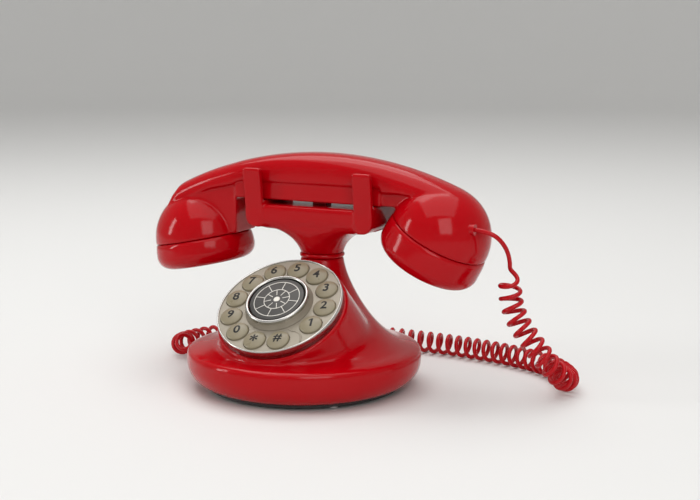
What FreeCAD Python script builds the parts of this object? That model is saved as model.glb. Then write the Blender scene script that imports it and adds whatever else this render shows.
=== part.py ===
"""French-style cradle telephone with push keys set out like a dial.

The base circle's centre on the table is the origin, +Z is up, -Y is the front
and +X is to the right as seen from the front. All sizes are in millimetres.
"""
import FreeCAD, Part
import os
from math import acos, cos, pi, radians, sin, sqrt, tan
from FreeCAD import Placement, Rotation, Vector

doc = FreeCAD.newDocument("cradle_phone")
sheet = doc.addObject("Spreadsheet::Sheet", "Sizes")

DRIVING_SIZES = (
    # base casing
    ("base_radius", 75.3),
    ("base_lift", 3.2),
    ("rim_top", 26.0),
    ("rim_lower_round", 11.0),
    ("rim_upper_round", 3.5),
    ("wall", 2.5),
    ("flare_power", 1.6),
    ("neck_lean", 2.3),
    ("pedestal_depth", 52.0),
    ("pedestal_foot_radius", 52.0),
    ("neck_radius", 14.0),
    ("neck_top", 80.0),
    ("neck_y", 25.5),
    ("neck_bore", 11.0),
    ("floor_opening", 61.0),
    ("boss_radius", 4.0),
    ("boss_circle", 59.5),
    ("boss_height", 13.0),
    # floor plate, feet and what stands on the plate
    ("plate_radius", 63.0),
    ("plate_thickness", 1.5),
    ("foot_radius", 6.5),
    ("foot_circle", 50.0),
    ("screw_radius", 1.5),
    ("screw_head_radius", 3.0),
    ("screw_head_height", 1.2),
    ("board_length", 64.0),
    ("board_width", 40.0),
    ("board_thickness", 1.6),
    ("board_height", 10.0),
    ("post_radius", 3.0),
    ("post_inset_x", 5.0),
    ("post_inset_y", 4.0),
    ("ballast_gap", 2.0),
    ("ballast_width", 30.0),
    ("ballast_height", 5.0),
    ("ringer_radius", 15.0),
    ("ringer_height", 8.0),
    ("ringer_y", 36.0),
    ("switch_length", 12.0),
    ("switch_width", 8.0),
    ("switch_height", 8.0),
    # sockets in the rim and the plugs of the cord
    ("socket_depth", 16.0),
    ("socket_size", 10.0),
    ("socket_hole", 6.8),
    ("socket_height", 13.5),
    ("plug_size", 6.4),
    ("plug_length", 16.0),
    ("plug_proud", 6.0),
    ("jack_angle", 172.0),
    ("line_angle", 90.0),
    # dial of push keys
    ("dial_y", -32.7),
    ("dial_height", 58.0),
    ("dial_tilt", 34.5),
    ("dial_radius", 39.4),
    ("dial_depth", 5.5),
    ("dial_skin", 2.0),
    ("rim_ring_width", 1.1),
    ("rim_ring_proud", 0.7),
    ("seat_radius", 42.0),
    ("pan_radius", 38.6),
    ("key_circle", 31.0),
    ("key_radius", 7.1),
    ("key_proud", 1.0),
    ("key_crown", 1.3),
    ("key_travel", 1.5),
    ("key_first_angle", 115.5),
    ("key_step", 28.97),
    ("key_stem_radius", 2.2),
    ("key_clearance", 0.3),
    ("mat_thickness", 0.8),
    ("key_board_thickness", 1.6),
    ("hub_foot_radius", 22.0),
    ("hub_top_radius", 19.5),
    ("hub_height", 6.3),
    ("hub_bore", 18.2),
    ("hub_disc_radius", 17.5),
    ("hub_disc_drop", 0.8),
    ("boss_tube_radius", 14.0),
    ("dial_screw_circle", 9.0),
    # cradle
    ("collar_radius", 14.7),
    ("collar_height", 3.0),
    ("spigot_length", 14.0),
    ("spigot_clearance", 0.05),
    ("cradle_top", 114.5),
    ("cradle_bottom", 98.0),
    ("cradle_depth", 41.0),
    ("fork_inner", 33.0),
    ("fork_outer", 45.6),
    ("fork_bottom", 99.5),
    ("fork_round", 7.0),
    ("prong_top", 138.3),
    ("prong_thickness", 3.6),
    ("prong_knee", 112.0),
    ("prong_flare", 3.6),
    ("prong_bevel", 2.0),
    ("cradle_round", 2.5),
    ("arch_overlap", 2.0),
    ("arch_inset", 1.6),
    ("cradle_under_round", 7.0),
    # hook plunger
    ("plunger_length", 9.5),
    ("plunger_width", 8.0),
    ("plunger_height", 18.0),
    ("plunger_clearance", 0.3),
    ("hook_travel", 4.0),
    ("rod_radius", 2.0),
    ("rod_hole", 3.0),
    # handset
    ("handset_shift", -4.0),
    ("handset_top", 148.0),
    ("grip_bottom", 117.2),
    ("grip_depth", 34.0),
    ("grip_arc", 240.0),
    ("grip_crest", 6.0),
    ("grip_shoulder", 104.0),
    ("grip_upper_share", 0.4242),
    ("grip_lower_share", 0.1818),
    ("shoulder_share", 0.3939),
    ("rest_clearance", 0.3),
    ("ear_spread", 87.0),
    ("ear_drop", 30.7),
    ("ear_tilt", 11.0),
    ("ear_inner_end", 53.0),
    ("mouth_spread", 86.9),
    ("mouth_drop", 18.2),
    ("mouth_tilt", 28.5),
    ("mouth_inner_end", 63.0),
    ("cup_radius", 32.6),
    ("cup_wall", 2.6),
    ("ear_cap_depth", 18.0),
    ("mouth_cap_depth", 22.5),
    ("cap_waist", 33.6),
    ("cap_face_radius", 27.0),
    ("cap_wall", 2.2),
    ("cap_hole_radius", 1.6),
    ("cap_hole_circle", 9.0),
    ("capsule_radius", 24.0),
    ("capsule_height", 9.0),
    ("weight_length", 70.0),
    ("weight_width", 12.0),
    ("weight_height", 8.0),
    ("tunnel_height", 16.0),
    ("tunnel_width", 22.0),
    ("duct_radius", 2.5),
    # curly cord
    ("cord_exit_x", 112.2),
    ("cord_exit_y", 11.0),
    ("cord_exit_z", 107.0),
    ("grommet_length", 12.0),
    ("wire_diameter", 2.8),
    ("curl_radius", 6.2),
    ("curl_pitch", 7.4),
    ("curl_clearance", 0.6),
)
for row, (alias, value) in enumerate(DRIVING_SIZES, 1):
    sheet.set("A%d" % row, alias)
    sheet.set("B%d" % row, str(value))
    sheet.setAlias("B%d" % row, alias)
doc.recompute()

NODES = []


def size(alias):
    return float(sheet.get(alias))


def bind(obj, **formulas):
    """Binds an object's sizes to cells of the sheet."""
    for prop, formula in formulas.items():
        obj.setExpression(prop, formula)
    return obj


def node(obj, label=None):
    """Marks an object as a sub-part that gets a file of its own."""
    if label:
        obj.Label = label
    NODES.append(obj)
    return obj


def cylinder(name, radius, height, base=Vector(), turn=Rotation()):
    obj = doc.addObject("Part::Cylinder", name)
    bind(obj, Radius=radius, Height=height)
    obj.Placement = Placement(base, turn)
    return obj


def cone(name, lower, upper, height, base=Vector(), turn=Rotation()):
    obj = doc.addObject("Part::Cone", name)
    bind(obj, Radius1=lower, Radius2=upper, Height=height)
    obj.Placement = Placement(base, turn)
    return obj


def box(name, length, width, height, base=Vector(), turn=Rotation()):
    """A box whose base point is the middle of its lower face."""
    obj = doc.addObject("Part::Box", name)
    bind(obj, Length=length, Width=width, Height=height)
    doc.recompute()
    corner = Vector(-obj.Length.Value / 2, -obj.Width.Value / 2, 0)
    obj.Placement = Placement(base + turn.multVec(corner), turn)
    return obj


def fuse(name, shapes):
    obj = doc.addObject("Part::MultiFuse", name)
    obj.Shapes = shapes
    return obj


def cut(name, base, tools):
    obj = doc.addObject("Part::Cut", name)
    obj.Base = base
    obj.Tool = tools[0] if len(tools) == 1 else fuse(name + "_tools", tools)
    return obj


def rounded(name, base, radius, chosen):
    """Rounds the edges that the test picks by their middle point and length."""
    doc.recompute()
    picked = []
    for number, edge in enumerate(base.Shape.Edges, 1):
        if chosen(edge):
            picked.append((number, radius, radius))
    obj = doc.addObject("Part::Fillet", name)
    obj.Base = base
    obj.Edges = picked
    return obj


def middle(edge):
    return edge.valueAt((edge.FirstParameter + edge.LastParameter) / 2)


def circle(name, radius, base, turn=Rotation()):
    obj = doc.addObject("Part::Circle", name)
    obj.Radius = radius
    obj.Placement = Placement(base, turn)
    return obj


def ellipse(name, major, minor, base):
    obj = doc.addObject("Part::Ellipse", name)
    obj.MajorRadius = max(major, minor)
    obj.MinorRadius = min(major, minor)
    obj.Placement = Placement(base, Rotation())
    return obj


def loft(name, sections):
    obj = doc.addObject("Part::Loft", name)
    obj.Sections = sections
    obj.Solid = True
    obj.Ruled = False
    return obj


def around(name, count, radius, start, make):
    """Copies round the Z axis, each made by its own call."""
    made = []
    for number in range(count):
        angle = radians(start + 360.0 * number / count)
        made.append(make("%s_%d" % (name, number), radius * cos(angle), radius * sin(angle)))
    return fuse(name, made)


def dial_place(x=0.0, y=0.0, z=0.0):
    """A place on the dial: x to the right, y up the slope, z out of its face."""
    frame = Placement(Vector(0, size("dial_y"), size("dial_height")),
                      Rotation(Vector(1, 0, 0), size("dial_tilt")))
    return frame.multiply(Placement(Vector(x, y, z), Rotation()))


def cup_size(side, what):
    """A size of the ear cup on the left or of the mouth cup on the right."""
    return size(("ear_" if side < 0 else "mouth_") + what)


def cup_height(side):
    """Height of a cup's seam, which hangs below the grip's underside."""
    return size("grip_bottom") - cup_size(side, "drop")


def cup_frame(side, z=0.0):
    """A place on a cup's axis, seen from the handset's own middle: z points from the cap into the cup."""
    frame = Placement(Vector(side * cup_size(side, "spread"), 0, cup_height(side)),
                      Rotation(Vector(0, 1, 0), side * cup_size(side, "tilt")))
    return frame.multiply(Placement(Vector(0, 0, z), Rotation()))


def rim_place(angle_alias, reach, z=0.0):
    """A place in the rim: x points outwards, at a distance from the base's axis."""
    turn = Rotation(Vector(0, 0, 1), size(angle_alias))
    return Placement(turn.multVec(Vector(reach, 0, size("socket_height") + z)), turn)


# Base casing: a round rim, a flared pedestal under the dial and a trumpet-shaped neck
def flare_share(step):
    """How far the flare has closed in at a share of its height, 0 to 1."""
    power = size("flare_power")
    return (1 - (1 - step) ** power) ** (1 / power)


def ease(step):
    return step * step * (3 - 2 * step)


def round_body(name, inset):
    """Circles from the rim's lower edge up to the neck, which shrink and move back."""
    rings = []
    lower = size("rim_lower_round")
    upper = size("rim_upper_round")
    for angle in (0, 25, 50, 75, 100):
        rings.append((size("base_radius") - lower + (lower - inset) * sin(radians(angle)), 0.0,
                      size("base_lift") + lower - (lower - inset) * cos(radians(angle))))
    for angle in (0, 35, 70):
        rings.append((size("base_radius") - upper + (upper - inset) * cos(radians(angle)), 0.0,
                      size("rim_top") - upper + (upper - inset) * sin(radians(angle))))
    steps = 9
    foot_radius = size("base_radius") - size("rim_upper_round")
    for number in range(1, steps):
        share = (number / (steps - 1)) ** 1.35
        radius = foot_radius - (foot_radius - size("neck_radius")) * flare_share(share)
        height = size("rim_top") + (size("neck_top") - size("rim_top")) * share
        back = size("neck_y") * (1 - (1 - share) ** size("neck_lean"))
        drop = -inset if number == steps - 1 else inset
        rings.append((radius - inset, back, height - drop))
    sections = []
    for number, (radius, back, height) in enumerate(rings):
        sections.append(circle("%s_%d" % (name, number), radius, Vector(0, back, height)))
    return loft(name, sections)


def pedestal(name, inset):
    """A tapered drum square to the dial, kept inside the rim's outline."""
    depth = size("pedestal_depth")
    drum = cone(name + "_drum", "Sizes.pedestal_foot_radius - %g" % inset, "Sizes.seat_radius - %g" % inset,
                "Sizes.pedestal_depth")
    drum.Placement = dial_place(z=-size("dial_depth") - depth - inset)
    room = cylinder(name + "_limit", "Sizes.base_radius - Sizes.rim_lower_round", "Sizes.neck_top",
                    Vector(0, 0, size("rim_top") / 2))
    inside = doc.addObject("Part::Common", name)
    inside.Base = drum
    inside.Tool = room
    return inside


def socket_box(name, angle_alias, grow):
    """The moulded block of a modular socket, pointing outwards through the rim."""
    obj = doc.addObject("Part::Box", name)
    reach = 3.0 if grow else 0.0
    bind(obj, Length="Sizes.socket_depth + %g" % reach, Width="Sizes.socket_size + %g" % (2 * grow),
         Height="Sizes.socket_size + %g" % (2 * grow))
    half = size("socket_size") / 2 + grow
    inner = size("base_radius") - size("socket_depth") - 0.8
    obj.Placement = rim_place(angle_alias, inner).multiply(Placement(Vector(0, -half, -half), Rotation()))
    return obj


wall = size("wall")
casing_outer = fuse("casing_outer", [round_body("body_outer", 0.0), pedestal("pedestal_outer", 0.0)])
casing_inner = fuse("casing_inner", [round_body("body_inner", wall), pedestal("pedestal_inner", wall)])
dial_opening = cylinder("dial_opening", "Sizes.pan_radius", "Sizes.wall * 6")
dial_opening.Placement = dial_place(z=-size("dial_depth") - 3 * wall)
floor_opening = cylinder("floor_opening", "Sizes.floor_opening", "Sizes.base_lift + 8")
neck_bore = cylinder("neck_bore", "Sizes.neck_bore", "Sizes.neck_top", Vector(0, size("neck_y"), size("neck_top") / 2))
hollow = cut("casing_hollow", casing_outer, [casing_inner, dial_opening, floor_opening, neck_bore])
bosses = around("casing_bosses", 4, size("boss_circle"), 45.0, lambda name, x, y: cylinder(
    name, "Sizes.boss_radius", "Sizes.boss_height", Vector(x, y, size("base_lift"))))
casing = fuse("casing_with_bosses", [hollow, bosses])
boss_holes = around("boss_holes", 4, size("boss_circle"), 45.0, lambda name, x, y: cylinder(
    name, "Sizes.screw_radius", "12", Vector(x, y, size("base_lift"))))
base_shell = node(cut("base_shell", casing, [boss_holes, socket_box("jack_window", "jack_angle", 0.1),
                                             socket_box("line_window", "line_angle", 0.1)]))

# Floor plate with its feet and screws
plate_bottom = size("base_lift") - size("plate_thickness")
plate_disc = cylinder("plate_disc", "Sizes.plate_radius", "Sizes.plate_thickness", Vector(0, 0, plate_bottom))
plate_holes = around("plate_holes", 4, size("boss_circle"), 45.0, lambda name, x, y: cylinder(
    name, "Sizes.screw_radius + 0.2", "Sizes.plate_thickness + 2", Vector(x, y, plate_bottom - 1)))
base_plate = node(cut("base_plate", plate_disc, [plate_holes]))
base_feet = node(around("base_feet", 4, size("foot_circle"), 0.0, lambda name, x, y: cylinder(
    name, "Sizes.foot_radius", "Sizes.base_lift - Sizes.plate_thickness", Vector(x, y, 0))))

middle_pad = node(cylinder("middle_pad", "Sizes.foot_radius", "Sizes.base_lift - Sizes.plate_thickness"))


def screw(name, x, y, z, reach):
    """A screw that points up, with its head's lower face at z."""
    shank = cylinder(name + "_shank", "Sizes.screw_radius - 0.05", "Sizes.screw_head_height + %g" % reach, Vector(x, y, z))
    head = cylinder(name + "_head", "Sizes.screw_head_radius", "Sizes.screw_head_height", Vector(x, y, z))
    return fuse(name, [shank, head])


base_screws = node(around("base_screws", 4, size("boss_circle"), 45.0, lambda name, x, y: screw(
    name, x, y, plate_bottom - size("screw_head_height"), 10.0)))

# What stands on the floor plate: ballast, ringer, circuit board and hook switch
plate_top = size("base_lift")
ballast = node(box("ballast", "Sizes.board_length - 2 * (Sizes.post_inset_x + Sizes.post_radius + Sizes.ballast_gap)",
                   "Sizes.ballast_width", "Sizes.ballast_height",
                   Vector(0, size("neck_y"), plate_top)))
ringer_can = cylinder("ringer_can", "Sizes.ringer_radius", "Sizes.ringer_height", Vector(0, -size("ringer_y"), plate_top))
ringer_mouth = cylinder("ringer_mouth", "Sizes.ringer_radius - 4", "Sizes.ringer_height - 2",
                        Vector(0, -size("ringer_y"), plate_top + 2.5))
ringer = node(cut("ringer", ringer_can, [ringer_mouth]))
post_x = size("board_length") / 2 - size("post_inset_x")
post_y = size("board_width") / 2 - size("post_inset_y")
posts = []
for number, (side_x, side_y) in enumerate(((-1, -1), (1, -1), (1, 1), (-1, 1))):
    posts.append(cylinder("post_%d" % number, "Sizes.post_radius", "Sizes.board_height - Sizes.base_lift",
                          Vector(side_x * post_x, size("neck_y") + side_y * post_y, plate_top)))
board_posts = node(fuse("board_posts", posts))
main_board = node(box("main_board", "Sizes.board_length", "Sizes.board_width", "Sizes.board_thickness",
                      Vector(0, size("neck_y"), size("board_height"))))
board_top = size("board_height") + size("board_thickness")
hook_switch = node(box("hook_switch", "Sizes.switch_length", "Sizes.switch_width", "Sizes.switch_height",
                       Vector(0, size("neck_y"), board_top)))


# Sockets for the line lead and the handset cord
def socket(name, angle_alias):
    hole = doc.addObject("Part::Box", name + "_hole")
    bind(hole, Length="Sizes.plug_length", Width="Sizes.socket_hole", Height="Sizes.socket_hole")
    half = size("socket_hole") / 2
    start = size("base_radius") - 0.8 - (size("plug_length") - size("plug_proud"))
    hole.Placement = rim_place(angle_alias, start).multiply(Placement(Vector(0, -half, -half), Rotation()))
    return cut(name, socket_box(name + "_block", angle_alias, 0.0), [hole])


handset_jack = node(socket("handset_jack", "jack_angle"))
line_jack = node(socket("line_jack", "line_angle"))
base_plug = node(doc.addObject("Part::Box", "base_plug"))
bind(base_plug, Length="Sizes.plug_length", Width="Sizes.plug_size", Height="Sizes.plug_size")
plug_start = size("base_radius") - 0.8 - (size("plug_length") - size("plug_proud"))
base_plug.Placement = rim_place("jack_angle", plug_start).multiply(
    Placement(Vector(0, -size("plug_size") / 2, -size("plug_size") / 2), Rotation()))

# Dial: a pan with key holes, its bright rim, the hub and what lies under the keys
key_names = ("1", "2", "3", "4", "5", "6", "7", "8", "9", "0", "star", "hash")
key_spots = []
for number in range(len(key_names)):
    angle = radians(size("key_first_angle") - size("key_step") * number)
    key_spots.append((size("key_circle") * sin(angle), size("key_circle") * cos(angle)))

pan_disc = cylinder("pan_disc", "Sizes.dial_radius", "Sizes.dial_depth", Vector(0, 0, -size("dial_depth")))
pan_room = cylinder("pan_room", "Sizes.pan_radius", "Sizes.dial_depth - Sizes.dial_skin", Vector(0, 0, -size("dial_depth")))
pan_ring = cut("pan_ring", pan_disc, [pan_room])
mat_top = -size("dial_skin") - 1.2 - size("key_travel")
boss_tube = cylinder("boss_tube", "Sizes.boss_tube_radius", "%g" % -mat_top, Vector(0, 0, mat_top))
pan = fuse("pan", [pan_ring, boss_tube])
key_holes = []
for name, (x, y) in zip(key_names, key_spots):
    key_holes.append(cylinder("key_hole_" + name, "Sizes.key_radius + Sizes.key_clearance", "Sizes.dial_skin + 2",
                              Vector(x, y, -size("dial_skin") - 1)))
dial_screw_holes = around("dial_screw_holes", 3, size("dial_screw_circle"), 90.0, lambda name, x, y: cylinder(
    name, "Sizes.screw_radius", "4", Vector(x, y, mat_top)))
dial_plate = node(cut("dial_plate", pan, key_holes + [dial_screw_holes]))
dial_plate.Placement = dial_place()

ring_outer = cylinder("ring_outer", "Sizes.dial_radius + Sizes.rim_ring_width", "Sizes.dial_depth + Sizes.rim_ring_proud",
                      Vector(0, 0, -size("dial_depth")))
ring_bore = cylinder("ring_bore", "Sizes.dial_radius", "Sizes.dial_depth + 4", Vector(0, 0, -size("dial_depth") - 2))
dial_rim = node(cut("dial_rim", ring_outer, [ring_bore]))
dial_rim.Placement = dial_place()

hub_cone = cone("hub_cone", "Sizes.hub_foot_radius", "Sizes.hub_top_radius", "Sizes.hub_height")
hub_hole = cylinder("hub_hole", "Sizes.hub_bore", "Sizes.hub_height + 2", Vector(0, 0, -1))
hub_ring = node(cut("hub_ring", hub_cone, [hub_hole]))
hub_ring.Placement = dial_place()
hub_disc = node(cylinder("hub_disc", "Sizes.hub_disc_radius", "Sizes.hub_height - Sizes.hub_disc_drop"))
hub_disc.Placement = dial_place()

mat_disc = cylinder("mat_disc", "Sizes.pan_radius - Sizes.key_clearance", "Sizes.mat_thickness",
                    Vector(0, 0, mat_top - size("mat_thickness")))
stem_holes = []
for name, (x, y) in zip(key_names, key_spots):
    stem_holes.append(cylinder("stem_hole_" + name, "Sizes.key_stem_radius + Sizes.key_clearance",
                               "Sizes.mat_thickness + 2", Vector(x, y, mat_top - size("mat_thickness") - 1)))
screw_passages = around("screw_passages", 3, size("dial_screw_circle"), 90.0, lambda name, x, y: cylinder(
    name, "Sizes.screw_radius + 0.2", "12", Vector(x, y, mat_top - 8)))
key_mat = node(cut("key_mat", mat_disc, stem_holes + [screw_passages]))
key_mat.Placement = dial_place()
key_board_top = mat_top - size("mat_thickness")
board_disc = cylinder("board_disc", "Sizes.pan_radius - Sizes.key_clearance", "Sizes.key_board_thickness",
                      Vector(0, 0, key_board_top - size("key_board_thickness")))
screw_passages_2 = around("screw_passages_2", 3, size("dial_screw_circle"), 90.0, lambda name, x, y: cylinder(
    name, "Sizes.screw_radius + 0.2", "12", Vector(x, y, mat_top - 8)))
key_board = node(cut("key_board", board_disc, [screw_passages_2]))
key_board.Placement = dial_place()
dial_screws = node(around("dial_screws", 3, size("dial_screw_circle"), 90.0, lambda name, x, y: screw(
    name, x, y, key_board_top - size("key_board_thickness") - size("screw_head_height"), 5.0)))
dial_screws.Placement = dial_place()

# Twelve keys, each a domed cap with a stem that reaches down to the key board
for name, (x, y) in zip(key_names, key_spots):
    foot = -size("dial_skin") - 1.0
    barrel = cylinder("key_barrel_" + name, "Sizes.key_radius", "Sizes.key_proud + %g" % -foot, Vector(0, 0, foot))
    crown_sphere = doc.addObject("Part::Sphere", "key_crown_" + name)
    crown_radius = (size("key_radius") ** 2 + size("key_crown") ** 2) / (2 * size("key_crown"))
    crown_sphere.Radius = crown_radius
    crown_sphere.Placement.Base = Vector(0, 0, size("key_proud") + size("key_crown") - crown_radius)
    crown_slab = cylinder("key_crown_slab_" + name, "Sizes.key_radius", "Sizes.key_crown", Vector(0, 0, size("key_proud")))
    crown = doc.addObject("Part::Common", "key_dome_" + name)
    crown.Base = crown_sphere
    crown.Tool = crown_slab
    stem_foot = key_board_top + size("key_travel") + 0.2
    stem = cylinder("key_stem_" + name, "Sizes.key_stem_radius", "%g" % (foot - stem_foot + 0.5), Vector(0, 0, stem_foot))
    key = node(fuse("key_" + name, [barrel, crown, stem]))
    key.Placement = dial_place(x, y)

# Cradle: a collar on the neck and a yoke whose two forks hold the handset's grip
neck_y = size("neck_y")
collar_block = cylinder("collar_block", "Sizes.collar_radius", "Sizes.collar_height", Vector(0, neck_y, size("neck_top")))
collar_round = rounded("collar_round", collar_block, size("collar_height") * 0.45, lambda e: e.Closed)
collar_bore = cylinder("collar_bore", "Sizes.neck_bore", "Sizes.collar_height + 2", Vector(0, neck_y, size("neck_top") - 1))
neck_collar = node(cut("neck_collar", collar_round, [collar_bore]))

yoke_foot = size("neck_top") + size("collar_height")
arch_rise = size("cradle_bottom") + size("arch_overlap") - yoke_foot
arch_half = size("fork_outer") - size("arch_inset")
yoke_sections = []
for number in range(8):
    share = sin(radians(90.0 * number / 7.0))
    opening = 1 - sqrt(1 - share * share)
    yoke_sections.append(ellipse("yoke_section_%d" % number,
                                 size("neck_radius") + (arch_half - size("neck_radius")) * opening,
                                 size("neck_radius") + (size("cradle_depth") / 2 - 0.6 - size("neck_radius")) * share ** 0.7,
                                 Vector(0, neck_y, yoke_foot + arch_rise * share)))
yoke_stem = loft("yoke_stem", yoke_sections)
crossbar_block = box("crossbar_block", "Sizes.fork_inner * 2 + 4", "Sizes.cradle_depth",
                     "Sizes.cradle_top - Sizes.cradle_bottom", Vector(0, neck_y, size("cradle_bottom")))
crossbar_under = rounded("crossbar_under", crossbar_block, size("cradle_under_round"),
                         lambda e: abs(middle(e).x) < 1 and middle(e).z < size("cradle_bottom") + 0.1)
crossbar = rounded("crossbar", crossbar_under, size("cradle_round"),
                   lambda e: abs(middle(e).x) < 1 and middle(e).z > size("cradle_top") - 0.1)
spigot = cylinder("spigot", "Sizes.neck_bore - Sizes.spigot_clearance", "Sizes.spigot_length + Sizes.collar_height + 2",
                  Vector(0, neck_y, size("neck_top") - size("spigot_length")))
prong_gap = size("grip_depth") / 2 + size("plunger_clearance") * 2
slot_floor = size("grip_bottom") - size("rest_clearance")


def fork_outline(x):
    """A fork as seen from the side: upright to its knee, with prongs that spread towards their tips."""
    outer = prong_gap + size("prong_thickness")
    tip = outer + size("prong_flare")
    right = [(outer, size("fork_bottom")), (outer, size("prong_knee")), (tip, size("prong_top")),
             (tip - size("prong_thickness") - 1, size("prong_top")), (prong_gap, slot_floor + 7), (prong_gap, slot_floor)]
    ring = right + [(-y, z) for y, z in reversed(right)]
    points = [Vector(x, size("neck_y") + y, z) for y, z in ring]
    return Part.makePolygon(points + points[:1])


yoke_pieces = [yoke_stem, crossbar, spigot]
for side, name in ((-1, "left"), (1, "right")):
    fork_start = size("fork_inner") if side > 0 else -size("fork_outer")
    fork = doc.addObject("Part::Feature", "fork_" + name)
    fork.Shape = Part.Face(fork_outline(fork_start)).extrude(Vector(size("fork_outer") - size("fork_inner"), 0, 0))
    fork_foot = rounded("fork_foot_" + name, fork, size("fork_round"),
                        lambda e: abs(middle(e).z - size("fork_bottom")) < 0.1
                        and abs(abs(middle(e).x) - size("fork_outer")) < 0.1)
    yoke_pieces.append(rounded("fork_round_" + name, fork_foot, size("prong_bevel"),
                               lambda e: abs(middle(e).z - size("prong_top")) < 0.1))
yoke_solid = fuse("yoke_solid", yoke_pieces)
plunger_hole = box("plunger_hole", "Sizes.plunger_length + Sizes.plunger_clearance * 2",
                   "Sizes.plunger_width + Sizes.plunger_clearance * 2", "Sizes.plunger_height + 6",
                   Vector(0, neck_y, size("grip_bottom") - size("rest_clearance") - size("plunger_height") - 0.3))
rod_passage = cylinder("rod_passage", "Sizes.rod_hole", "Sizes.prong_top", Vector(0, neck_y, size("neck_top") / 2))
cradle_yoke = node(cut("cradle_yoke", yoke_solid, [plunger_hole, rod_passage]))

# Hook plunger and the rod that carries its movement down to the switch
plunger_top = size("grip_bottom") - size("rest_clearance")
plunger_foot = plunger_top - size("plunger_height")
plunger_block = box("plunger_block", "Sizes.plunger_length", "Sizes.plunger_width", "Sizes.plunger_height",
                    Vector(0, neck_y, plunger_foot))
hook_plunger = node(rounded("hook_plunger", plunger_block, 0.8, lambda e: middle(e).z > plunger_top - 0.1))
rod_foot = board_top + size("switch_height") + size("rest_clearance")
hook_rod = node(cylinder("hook_rod", "Sizes.rod_radius", "%g" % (plunger_foot - rod_foot), Vector(0, neck_y, rod_foot)))


# Handset: an arched grip with two cups, closed by screwed caps
def grip_outline():
    """The grip as seen from the front: a long arc, slanting ends and a flat underside."""
    top = size("handset_top")
    arc = size("grip_arc")
    crest = size("grip_crest")
    under = size("grip_bottom")
    ends = {}
    for side in (-1, 1):
        shoulder = side * size("grip_shoulder")
        shoulder_z = top - arc + sqrt(arc * arc - (shoulder - crest) ** 2)
        lean = radians(cup_size(side, "tilt"))
        spread = cup_size(side, "spread")
        outer_x = side * (spread + size("cup_radius") * cos(lean))
        outer_z = cup_height(side) - size("cup_radius") * sin(lean)
        inner = cup_size(side, "inner_end")
        inner_z = cup_height(side) + (spread - inner) * tan(lean)
        ends[side] = [Vector(shoulder, 0, shoulder_z), Vector(outer_x, 0, outer_z),
                      Vector(side * inner, 0, inner_z), Vector(side * inner, 0, under)]
    corners = ends[1] + ends[-1][::-1]
    edges = [Part.LineSegment(a, b).toShape() for a, b in zip(corners, corners[1:])]
    edges.append(Part.Arc(corners[-1], Vector(crest, 0, top), corners[0]).toShape())
    return Part.Wire(edges)


grip_face = Part.Face(grip_outline())
grip_slab = doc.addObject("Part::Feature", "grip_slab")
grip_slab.Shape = grip_face.extrude(Vector(0, size("grip_depth"), 0))
grip_slab.Placement = Placement(Vector(0, -size("grip_depth") / 2, 0), Rotation())
under = size("grip_bottom")
grip_height = size("handset_top") - under
shouldered = rounded("grip_shouldered", grip_slab, grip_height * size("shoulder_share"),
                     lambda e: abs(middle(e).y) < 0.1 and abs(abs(middle(e).x) - size("grip_shoulder")) < 0.1)
grip_topped = rounded("grip_topped", shouldered, grip_height * size("grip_upper_share"),
                      lambda e: abs(abs(middle(e).y) - size("grip_depth") / 2) < 0.1
                      and abs(middle(e).x) < 12 and middle(e).z > size("handset_top") - 2)
grip = rounded("grip", grip_topped, grip_height * size("grip_lower_share"),
               lambda e: abs(abs(middle(e).y) - size("grip_depth") / 2) < 0.1
               and abs(middle(e).x) < 12 and abs(middle(e).z - under) < 0.1)


handset_place = Placement(Vector(size("handset_shift"), neck_y, 0), Rotation())
shell_pieces = [grip]
shell_rooms = []
for side, name in ((-1, "ear"), (1, "mouth")):
    dome = doc.addObject("Part::Sphere", name + "_dome")
    bind(dome, Radius="Sizes.cup_radius", Angle1="0")
    dome.Placement = cup_frame(side)
    shell_pieces.append(dome)
    room = doc.addObject("Part::Sphere", name + "_room")
    bind(room, Radius="Sizes.cup_radius - Sizes.cup_wall")
    room.Placement = cup_frame(side)
    shell_rooms.append(room)
tunnel_floor = size("grip_bottom") + 4.0
shell_rooms.append(box("grip_tunnel", "Sizes.ear_inner_end * 2", "Sizes.tunnel_width", "Sizes.tunnel_height",
                       Vector(0, 0, tunnel_floor)))
for side, name in ((-1, "ear"), (1, "mouth")):
    duct_start = Vector(side * (size("ear_inner_end") - 6), 0, tunnel_floor + 4)
    duct_way = cup_frame(side, 12.0).Base - duct_start
    duct = cylinder(name + "_duct", "Sizes.duct_radius", "%g" % duct_way.Length, duct_start,
                    Rotation(Vector(0, 0, 1), duct_way))
    shell_rooms.append(duct)
handset_shell = node(cut("handset_shell", fuse("shell_solid", shell_pieces), shell_rooms))
handset_shell.Placement = handset_place
handset_weight = node(box("handset_weight", "Sizes.weight_length", "Sizes.weight_width", "Sizes.weight_height"))
handset_weight.Placement = handset_place.multiply(
    Placement(Vector(-size("weight_length") / 2, -size("weight_width") / 2, tunnel_floor), Rotation()))

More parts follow.
